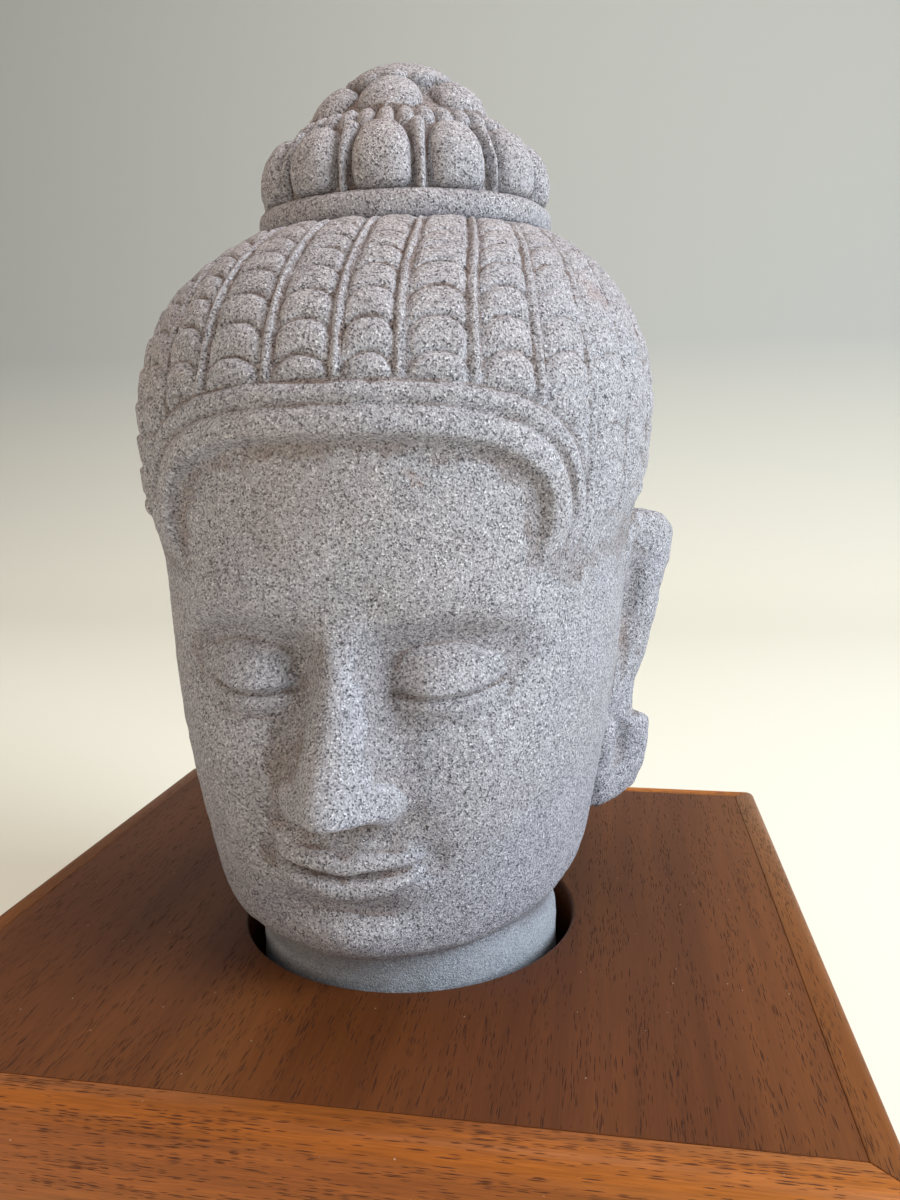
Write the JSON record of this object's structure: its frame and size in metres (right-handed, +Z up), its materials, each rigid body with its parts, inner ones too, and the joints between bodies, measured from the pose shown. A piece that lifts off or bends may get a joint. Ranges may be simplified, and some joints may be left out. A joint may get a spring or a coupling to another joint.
{
  "type": "stone buddha head on wooden stand",
  "caption": "Carved sandstone head of a Buddha with ribbed and scalloped hair and a lotus bun, standing by its neck in the recess of a low mitred hardwood block stand.",
  "frame": {"origin": "middle of the stand's underside", "axes": "+Z up, the face looks along -Y, +X is to the right of someone who faces it"},
  "size_m": [0.192, 0.172, 0.238],
  "materials": {
    "sandstone": "fine-grained pinkish grey sandstone, matt, speckled",
    "panel_wood": "dark reddish-brown hardwood, satin",
    "edge_wood": "orange-brown hardwood with dark pores, satin"
  },
  "bodies": {
    "root": {"stone_head": "sandstone", "stand_panel": "panel_wood", "stand_edge_front": "edge_wood", "stand_edge_back": "edge_wood", "stand_edge_left": "edge_wood", "stand_edge_right": "edge_wood"}
  },
  "joints": []
}
